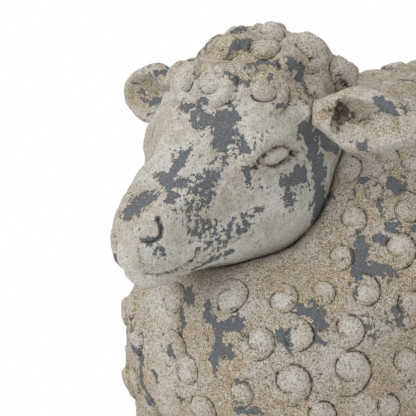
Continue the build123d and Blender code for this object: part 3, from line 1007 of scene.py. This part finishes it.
FACE_PATCHES = (
    Patch(((196, 117), (215, 116), (236, 114)), 7),
    Patch(((224, 118), (226, 132), (222, 142)), 10),
    Patch(((226, 150), (222, 162)), 11, 0.56),
    Patch(((186, 150), (184, 158)), 5),
    Patch(((181, 163), (172, 174)), 6),
    Patch(((160, 178), (172, 184), (185, 183)), 6.5, 0.9),
    Patch(((170, 190), (172, 199)), 5),
    Patch(((133, 209), (143, 202)), 11.5),
    Patch(((155, 217), (158, 226), (158, 236), (150, 241)), 4, 0.95),
    Patch(((216, 165), (208, 185), (200, 200)), 15, 0.5),
    Patch(((200, 192), (212, 178)), 6, 0.62),
    Patch(((190, 210), (205, 225)), 15, 0.49),
    Patch(((212, 245), (226, 232), (240, 222)), 12, 0.53),
    Patch(((286, 186), (298, 177)), 9, 0.85),
    Patch(((284, 192), (292, 198)), 7, 0.75),
    Patch(((304, 126), (311, 142), (315, 160), (320, 180), (320, 205), (317, 222)), 8),
    Patch(((318, 130), (328, 144), (338, 151)), 7, 0.9),
    Patch(((250, 182), (246, 166), (243, 142)), 5, 0.55),
    Patch(((256, 212), (268, 207)), 6, 0.58),
    Patch(((116, 256), (116, 262)), 3.5, 0.85),
    Patch(((164, 248), (165, 253)), 3, 0.8),
    Patch(((195, 268), (210, 262), (232, 252)), 5, 0.65),
    Patch(((228, 57), (236, 45), (246, 41)), 6, 0.8),
    Patch(((246, 68), (262, 63), (280, 64)), 4, 0.8),
    Patch(((290, 60), (300, 72)), 8, 0.7),
    Patch(((225, 72), (228, 74)), 3, 0.9),
    Patch(((236, 78), (240, 81)), 4, 0.85),
    Patch(((232, 32), (244, 28)), 6, 0.75),
    Patch(((192, 60), (205, 47), (215, 38)), 6, 0.62),
    Patch(((182, 108), (205, 103)), 6, 0.58),
    Patch(((283, 108), (288, 102)), 4, 0.8),
    Patch(((297, 78), (302, 86)), 4, 0.75),
    Patch(((336, 83), (346, 85)), 3, 0.85),
    Patch(((274, 78), (276, 84)), 6, 0.58),
    Patch(((304, 92), (310, 98)), 8, 0.52),
)
# Pale haze over the face: partly the coat's own pale grey haze on the chin and lips, partly painted light
# that brightens the cheek ridge and the underside of the jaw.
FACE_HAZE_AND_LIGHT = (
    Patch(((118, 258), (135, 281), (165, 287), (205, 272)), 14, 1.0),
    Patch(((172, 252), (186, 246)), 12, 0.9),
    Patch(((196, 240), (232, 222), (275, 206)), 11, 0.95),
    Patch(((178, 197), (192, 201)), 10, 0.8),
    Patch(((262, 132), (288, 130)), 10, 0.5),
    Patch(((305, 215), (275, 236), (235, 252)), 14, 0.9),
)
EAR_PATCHES = (
    Patch(((146, 98), (162, 101)), 7),
    Patch(((150, 107), (166, 106)), 4, 0.65),
    Patch(((160, 73), (174, 67)), 5, 0.85),
    Patch(((148, 68), (160, 63)), 3, 0.75),
    Patch(((151, 115), (157, 113)), 3, 0.85),
    Patch(((378, 98), (385, 100)), 4),
    Patch(((390, 104), (400, 109)), 3.5),
    Patch(((353, 147), (366, 147)), 4, 0.75),
)
BODY_HAZE = (
    Patch(((160, 298), (163, 345), (166, 405)), 17, 0.6),
    Patch(((228, 296), (240, 300)), 12, 0.45),
    Patch(((190, 365), (192, 385)), 13, 0.5),
    Patch(((345, 162), (372, 168)), 14, 0.55),
    Patch(((330, 352), (345, 358)), 14, 0.5),
)
BODY_PATCHES = (
    Patch(((188, 291), (190, 303)), 5),
    Patch(((208, 300), (206, 318), (217, 329), (239, 325)), 6),
    Patch(((217, 329), (217, 347), (230, 354)), 6),
    Patch(((217, 347), (214, 370)), 5),
    Patch(((180, 315), (180, 330)), 4),
    Patch(((131, 320), (132, 343), (141, 355), (142, 385), (150, 400)), 4, 0.9),
    Patch(((155, 370), (158, 378)), 3, 0.9),
    Patch(((174, 346), (175, 353)), 3, 0.9),
    Patch(((181, 397), (182, 405)), 3, 0.9),
    Patch(((306, 311), (318, 315), (319, 327), (320, 340)), 6),
    Patch(((361, 246), (359, 272)), 7, 0.95),
    Patch(((372, 271), (388, 273)), 6),
    Patch(((283, 337), (289, 347)), 4, 0.9),
    Patch(((365, 320), (372, 340)), 5, 0.6),
    Patch(((245, 411), (262, 408)), 6, 0.8),
    Patch(((398, 305), (403, 322)), 6, 0.65),
    Patch(((391, 188), (401, 187)), 6),
    Patch(((331, 190), (333, 199)), 4),
    Patch(((347, 200), (352, 192)), 3),
    Patch(((378, 202), (379, 208)), 3),
    Patch(((378, 237), (381, 241)), 5),
    Patch(((398, 228), (415, 229)), 5, 0.9),
    Patch(((362, 182), (366, 180)), 4, 0.9),
    Patch(((330, 152), (334, 165)), 5, 0.9),
    Patch(((374, 68), (395, 70)), 5, 0.7),
    Patch(((405, 80), (415, 84)), 6, 0.7),
    Patch(((236, 384), (244, 382)), 3, 0.9),
)


@dataclass(frozen=True)
class Shop:
    """What every casting needs: the frame's nodes, the photograph's viewpoint and the coat."""

    nodes: dict[str, bpy.types.Object]
    view: Viewpoint
    coat: Finish
    slot: str = "coated_cement"

    def clay(self, names: tuple[str, ...], grain: float) -> Clay:
        """Clay over the solids of some nodes."""
        return Clay.wrap([self.nodes[name] for name in names], grain)

    def show(self, clay: Clay, node: str, layers: dict[str, np.ndarray]) -> bpy.types.Object:
        """Makes a sculpted casting stand for its node.

        Args:
            clay: The sculpted clay.
            node: The node's name.
            layers: Numbers for each point that the coat reads, by name.

        Returns:
            The casting.
        """
        piece = clay.shown(f"cast_{node}", layers)
        self.coat.dress(piece, self.slot)
        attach(piece, "root")
        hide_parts(node)
        return piece

    def hollow(self, clay: Clay, fine: int, wide: int) -> np.ndarray:
        """How far each point lies in a small or a large hollow.

        Args:
            clay: The sculpted clay.
            fine: How wide the skin around a small hollow is, in steps.
            wide: How wide the skin around a large hollow is, in steps.

        Returns:
            Numbers from -1 on crests to 1 in hollows.
        """
        depth = 0.7 * clay.hollows(fine, 0.5 * MM) + 0.6 * clay.hollows(wide, 2.0 * MM)
        return np.clip(depth, -1.0, 1.0)


def pinch(clay: Clay, axis: Vector, reach: tuple[float, float], share: float) -> None:
    """Narrows clay about a level line across the figure.

    Args:
        clay: What is narrowed.
        axis: A point of the line.
        reach: Distances from the figure's middle where the narrowing starts and where it is full.
        share: What is left of the width there.
    """
    full = smoothstep(0.0, 1.0, (np.abs(clay.points[:, 0]) - reach[0]) / (reach[1] - reach[0]))
    middle = np.array((axis.y, axis.z))
    clay.points[:, 1:] = middle + (clay.points[:, 1:] - middle) * (1.0 - (1.0 - share) * full)[:, None]


def scattered(clay: Clay, where: np.ndarray, spacing: float, seed: int) -> np.ndarray:
    """Bare patches over a part of the clay that the photograph doesn't show.

    Args:
        clay: The clay.
        where: True for each point that may be bare.
        spacing: Rough distance from one patch to the next.
        seed: Which spread.

    Returns:
        How far the coat is gone at each point, from 0 to 1.
    """
    chance = np.random.default_rng(seed)
    bare = np.zeros(len(clay.points))
    normals, ragged = clay.normals(), frayed(clay.points)
    kept: list[np.ndarray] = []
    for index in chance.permutation(np.flatnonzero(where))[:3000]:
        spot = clay.points[index]
        if kept and np.min(np.linalg.norm(np.array(kept) - spot, axis=1)) < spacing:
            continue
        kept.append(spot)
        way = unit(np.cross(normals[index], chance.normal(size=3)))
        width, strength = chance.uniform(2.0, 5.0) * MM, chance.uniform(0.65, 1.0)
        for step in range(chance.integers(1, 6)):
            centre = spot + way * step * width * 1.1
            near = np.flatnonzero(np.all(np.abs(ragged - centre) < width * FLECK_REACH * 2.0, axis=1))
            gap = np.linalg.norm(ragged[near] - centre, axis=1)
            bare[near] = np.maximum(bare[near], strength * peeled(gap / width))
            way = unit(way + 0.5 * unit(np.cross(normals[index], chance.normal(size=3))))
    return np.where(where, bare, 0.0)


@dataclass
class Body:
    """The fleeced body, sculpted whole and then cut into its two half castings."""

    shop: Shop
    grain: float = 1.1 * MM
    rise: float = 0.2
    groove: float = 0.65
    seam_gap: float = 0.4 * MM
    head_room: float = 14.0 * MM

    def build(self) -> list[bpy.types.Object]:
        """Sculpts the fleece.

        Returns:
            The left and the right half casting.
        """
        clay = self.shop.clay(("body_left", "body_right", "belly_plug"), self.grain)
        clay.keep_outside()
        clay.smooth(24)
        bossed = clay.points
        clay.smooth(130)
        crest = np.sum((bossed - clay.points) * clay.normals(), axis=1)
        clay.push((lumps(clay.points, 26.0 * MM, 3) * 0.8 + lumps(clay.points, 11.0 * MM, 4) * 0.7) * MM)
        sculptor = Sculptor(clay, self.shop.view)
        free = ~sculptor.seen() & self.clear_of_head(clay)
        fleece = Fleece(sculptor, self.rise, self.groove)
        fleece.from_photo(BODY_CURLS, both_sides=False)
        bosses = np.flatnonzero((crest > 0.4 * MM) & free)
        fleece.spread(bosses[np.argsort(-crest[bosses])], (13.0 * MM, 16.5 * MM), 0.7, 11)
        woolly = clay.points[:, 2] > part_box("belly_plug")[1][2] + 12.0 * MM
        fleece.fill(woolly & free, (7.0 * MM, 10.0 * MM), 0.85, 12)
        crown = fleece.work_in()
        gritty = lumps(clay.points, 2.4 * MM, 6) * 0.3 * (1.0 - crown)
        clay.push((lumps(clay.points, 4.0 * MM, 5) * 0.25 + gritty) * MM)
        bare = np.maximum(sculptor.covered(BODY_PATCHES), scattered(clay, ~sculptor.seen(), 30.0 * MM, 21))
        crown = np.maximum(crown, sculptor.covered(BODY_HAZE))
        layers = {"hollow": self.shop.hollow(clay, 10, 60), "bare": bare, "crown": crown}
        layers["wool"] = np.ones(len(clay.points))
        return self.halves(clay, layers)

    def clear_of_head(self, clay: Clay) -> np.ndarray:
        """True for each point outside the hollow that the head is set in, and its rim."""
        low, high = (np.array(corner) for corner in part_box("head"))
        beside = np.abs(clay.points[:, 0]) > high[0] + self.head_room
        behind = clay.points[:, 1] > self.shop.view.ears.y + 2 * self.head_room
        return beside | behind | (clay.points[:, 2] < low[2] - self.head_room)

    def halves(self, clay: Clay, layers: dict[str, np.ndarray]) -> list[bpy.types.Object]:
        """Opens the hole of the plug and cuts the body along its middle.

        Args:
            clay: The sculpted body.
            layers: Numbers for each point that the finish reads, by name.

        Returns:
            The left and the right half casting.
        """
        low, high = (np.array(corner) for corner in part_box("belly_plug"))
        away = clay.points[:, :2] - (low + high)[:2] / 2
        reach = np.linalg.norm(away, axis=1)
        rim = (high[0] - low[0]) / 2 + self.seam_gap
        under = clay.points[:, 2] < high[2]
        ring = under & (reach >= rim) & (reach < rim + self.grain)
        clay.points[ring, :2] += away[ring] * (rim / reach[ring] - 1.0)[:, None]
        left = clay.points[clay.quads][:, :, 0].mean(axis=1) > 0.0
        open_hole = (under & (reach < rim))[clay.quads].any(axis=1)
        on_seam = np.zeros((2, len(clay.points)), bool)
        on_seam[0][clay.quads[left]] = True
        on_seam[1][clay.quads[~left]] = True
        clay.points[on_seam.all(axis=0), 0] = 0.0
        made = []
        for node, faces in (("body_left", left & ~open_hole), ("body_right", ~left & ~open_hole)):
            half = Clay(clay.points, clay.quads[faces])
            wanted = np.zeros(len(clay.points), bool)
            wanted[half.quads] = True
            half.keep(wanted)
            made.append(self.shop.show(half, node, {name: values[wanted] for name, values in layers.items()}))
        return made


@dataclass
class Head:
    """The head with its curled topknot and its face."""

    shop: Shop
    grain: float = 0.85 * MM
    rounds: int = 45
    poll_rounds: int = 110
    rise: float = 0.32
    groove: float = 0.25
    blunt: float = 0.5
    hairline: float = 0.35
    root_share: float = 0.62

    def build(self) -> bpy.types.Object:
        """Sculpts the head.

        Returns:
            The casting.
        """
        clay = self.shop.clay(("head",), self.grain)
        clay.smooth(self.rounds)
        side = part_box("head")[1][0]
        pinch(clay, self.shop.view.ears, (0.85 * side, 0.97 * side), self.root_share)
        wool = self.topknot(clay)
        rubbed = clay.averaged(clay.points, self.poll_rounds)
        clay.points = clay.points + (rubbed - clay.points) * wool[:, None]
        clay.push((lumps(clay.points, 14.0 * MM, 7) * 0.5 - wool * 2.0) * MM)
        Sculptor(clay, self.shop.view).carve(POLL_STROKES)
        fleece = Fleece(Sculptor(clay, self.shop.view), self.rise, self.groove, self.blunt)
        fleece.from_photo(TOPKNOT_CURLS, both_sides=True)
        fleece.fill(wool > 0.8, (9.0 * MM, 12.0 * MM), 0.75, 13)
        crown = fleece.work_in()
        Sculptor(clay, self.shop.view).carve(FACE_STROKES)
        clay.push(lumps(clay.points, 3.0 * MM, 9) * (0.15 + 0.2 * wool) * MM)
        sculptor = Sculptor(clay, self.shop.view)
        bare = sculptor.covered(FACE_PATCHES)
        bare = np.maximum(bare, scattered(clay, ~sculptor.seen(), 22.0 * MM, 23))
        # Pale crowns of the curls, together with the face's haze, part of which is painted light on the cheek
        # and jaw.
        crown = np.maximum(crown * 0.6, sculptor.covered(FACE_HAZE_AND_LIGHT))
        # The hollow layer also takes the painted shade along the eye, nostril and mouth cuts.
        hollow = np.maximum(self.shop.hollow(clay, 8, 60), sculptor.dirt_and_shade_in_cuts(FACE_STROKES))
        layers = {"hollow": hollow, "bare": bare, "crown": crown, "wool": wool * 0.8}
        return self.shop.show(clay, "head", layers)

    def topknot(self, clay: Clay) -> np.ndarray:
        """How far each point belongs to the topknot, from 0 on the face to 1."""
        away = clay.points - np.array(self.shop.view.ears)
        return smoothstep(4.0 * MM, 14.0 * MM, away[:, 2] + away[:, 1] * self.hairline + 6.0 * MM)


@dataclass
class Ears:
    """The two ears, each with a deep hollow. The right one is the left one's mirror image."""

    shop: Shop
    grain: float = 0.8 * MM
    rounds: int = 36
    root_share: float = 0.62

    def build(self) -> list[bpy.types.Object]:
        """Sculpts both ears.

        Returns:
            The two castings.
        """
        left = self.shop.clay(("ear_left", "ear_dowels"), self.grain)
        left.keep_outside()
        root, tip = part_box("ear_left")[0][0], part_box("ear_left")[1][0]
        left.keep(left.points[:, 0] > root)
        left.smooth(self.rounds)
        pinch(left, self.shop.view.ears, (root + (tip - root) * 0.45, root), self.root_share)
        Sculptor(left, self.shop.view).carve(EAR_STROKES, both_sides=False)
        right = Clay(left.points * (-1.0, 1.0, 1.0), left.quads[:, ::-1].copy())
        made = []
        for node, clay, seed in (("ear_left", left, 31), ("ear_right", right, 32)):
            clay.push(lumps(clay.points, 9.0 * MM, seed) * 0.5 * MM)
            clay.push(lumps(clay.points, 3.0 * MM, seed) * 0.25 * MM)
            sculptor = Sculptor(clay, self.shop.view)
            bare = scattered(clay, ~sculptor.seen(), 20.0 * MM, seed)
            bare = np.maximum(sculptor.covered(EAR_PATCHES), bare)
            sunk = smoothstep(0.0, 0.5, self.shop.hollow(clay, 8, 160))
            clay.push((0.8 + lumps(clay.points, 2.4 * MM, seed) * 0.6 * sunk) * MM)
            # Painted shade along the cuts of the ear's hollow.
            dirt_and_shade = Sculptor(clay, self.shop.view).dirt_and_shade_in_cuts(EAR_STROKES)
            layers = {"hollow": np.maximum(self.shop.hollow(clay, 8, 90), dirt_and_shade), "bare": bare * (1.0 - sunk)}
            bowl = Sculptor(clay, self.shop.view).covered(EAR_BOWL)
            layers |= {"crown": np.zeros(len(bare)), "wool": np.maximum(0.3 + 0.7 * sunk, bowl)}
            made.append(self.shop.show(clay, node, layers))
        return made


@dataclass
class Limbs:
    """The four legs with their cloven hooves, and the woolly tail."""

    shop: Shop
    grain: float = 1.2 * MM
    rounds: int = 20

    def build(self) -> list[bpy.types.Object]:
        """Sculpts the legs and the tail.

        Returns:
            The castings.
        """
        made = []
        names = [f"{end}_{side}_leg" for end in ("front", "hind") for side in ("left", "right")]
        for seed, node in enumerate([*names, "tail"], 41):
            clay = self.shop.clay((node,), self.grain)
            clay.smooth(self.rounds)
            clay.push(lumps(clay.points, 16.0 * MM, seed) * 0.6 * MM)
            crown, wool = np.zeros(len(clay.points)), np.full(len(clay.points), 0.35)
            if node == "tail":
                fleece = Fleece(Sculptor(clay, self.shop.view), 0.18)
                fleece.fill(clay.normals()[:, 1] > -0.2, (9.0 * MM, 12.0 * MM), 0.8, seed)
                crown, wool = fleece.work_in(), np.ones(len(clay.points))
            clay.push(lumps(clay.points, 3.5 * MM, seed) * 0.2 * MM)
            bare = scattered(clay, np.ones(len(clay.points), bool), 26.0 * MM, seed)
            layers = {"hollow": self.shop.hollow(clay, 8, 50), "bare": bare, "crown": crown, "wool": wool}
            made.append(self.shop.show(clay, node, layers))
        return made


@dataclass
class Fixings:
    """The plug of the pouring hole, and the rods and dowels inside."""

    nodes: dict[str, bpy.types.Object]

    def dress(self) -> list[bpy.types.Object]:
        """Finishes the fixings where they are.

        Returns:
            The dressed pieces.
        """
        plug = self.nodes["belly_plug"]
        PlainCement().dress(plug, "plain_cement")
        rods = [self.nodes[name] for name in ("ear_dowels", "neck_rods", "leg_rods", "tail_dowel")]
        for rod in rods:
            RodSteel().dress(rod, "rod_steel")
        return [plug, *rods]


@dataclass(frozen=True)
class Studio:
    """A white studio with a pale floor and soft light from above, to the left of the camera."""

    view: Viewpoint
    floor: Colour = srgb(238, 236, 232)
    floor_reach: float = 0.5
    sky: float = 0.76
    key: float = 24.0
    key_side: float = 2.0
    key_left: float = 1.3
    key_up: float = 1.0
    key_near: float = 1.1

    def build(self) -> None:
        """Sets up floor, sky, lamp and camera."""
        turns = np.linspace(0.0, 2 * math.pi, 96, endpoint=False)
        rim = [(self.floor_reach * math.cos(turn), self.floor_reach * math.sin(turn), 0.0) for turn in turns]
        mesh = bpy.data.meshes.new("floor")
        mesh.from_pydata(rim, [], [tuple(range(len(rim)))])
        floor = bpy.data.objects.new("floor", mesh)
        bpy.context.scene.collection.objects.link(floor)
        pale = bpy.data.materials.new("pale_floor")
        pale.use_nodes = True
        pale.node_tree.nodes["Principled BSDF"].inputs["Base Color"].default_value = self.floor
        pale.node_tree.nodes["Principled BSDF"].inputs["Roughness"].default_value = 0.8
        mesh.materials.append(pale)
        self.light()
        self.background()
        self.view.camera()
        bpy.context.scene.view_settings.view_transform = "Standard"

    def light(self) -> None:
        """Hangs the lamp."""
        right, up, back = self.view.axes()
        data = bpy.data.lights.new("key", "AREA")
        data.energy = self.key
        data.size = self.key_side
        lamp = bpy.data.objects.new("key", data)
        lamp.location = self.view.ears - right * self.key_left + up * self.key_up + back * self.key_near
        lamp.rotation_euler = (lamp.location - self.view.ears).to_track_quat("Z", "Y").to_euler()
        bpy.context.scene.collection.objects.link(lamp)

    def background(self) -> None:
        """Lights the scene from a soft sky that shows as plain white."""
        world = bpy.data.worlds.new("studio")
        world.use_nodes = True
        bpy.context.scene.world = world
        graph = Graph(world.node_tree)
        paths = graph.node("ShaderNodeLightPath")
        shown = graph.math("MAXIMUM", paths.outputs["Is Camera Ray"], paths.outputs["Is Transmission Ray"])
        shown = graph.math("MAXIMUM", shown, paths.outputs["Is Glossy Ray"])
        sky = world.node_tree.nodes["Background"]
        graph.put(sky.inputs["Color"], (1.0, 1.0, 1.0, 1.0))
        extra = graph.math("MULTIPLY", shown, 1.0 - self.sky)
        graph.put(sky.inputs["Strength"], graph.math("ADD", self.sky, extra))


def main() -> None:
    """Builds the figurine and the studio."""
    logging.basicConfig(level=logging.INFO, format="%(message)s")
    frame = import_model()
    low, high = (Vector(corner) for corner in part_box("ear_dowels"))
    view = Viewpoint((low + high) / 2)
    shop = Shop(frame["nodes"], view, PeelingCement())
    made = Body(shop).build()
    made.append(Head(shop).build())
    made += Ears(shop).build()
    made += Limbs(shop).build()
    made += Fixings(frame["nodes"]).dress()
    for piece in made:
        LOG.info("%s: %d faces", piece.name, len(piece.data.polygons))
    Studio(view).build()


if __name__ == "__main__":
    main()
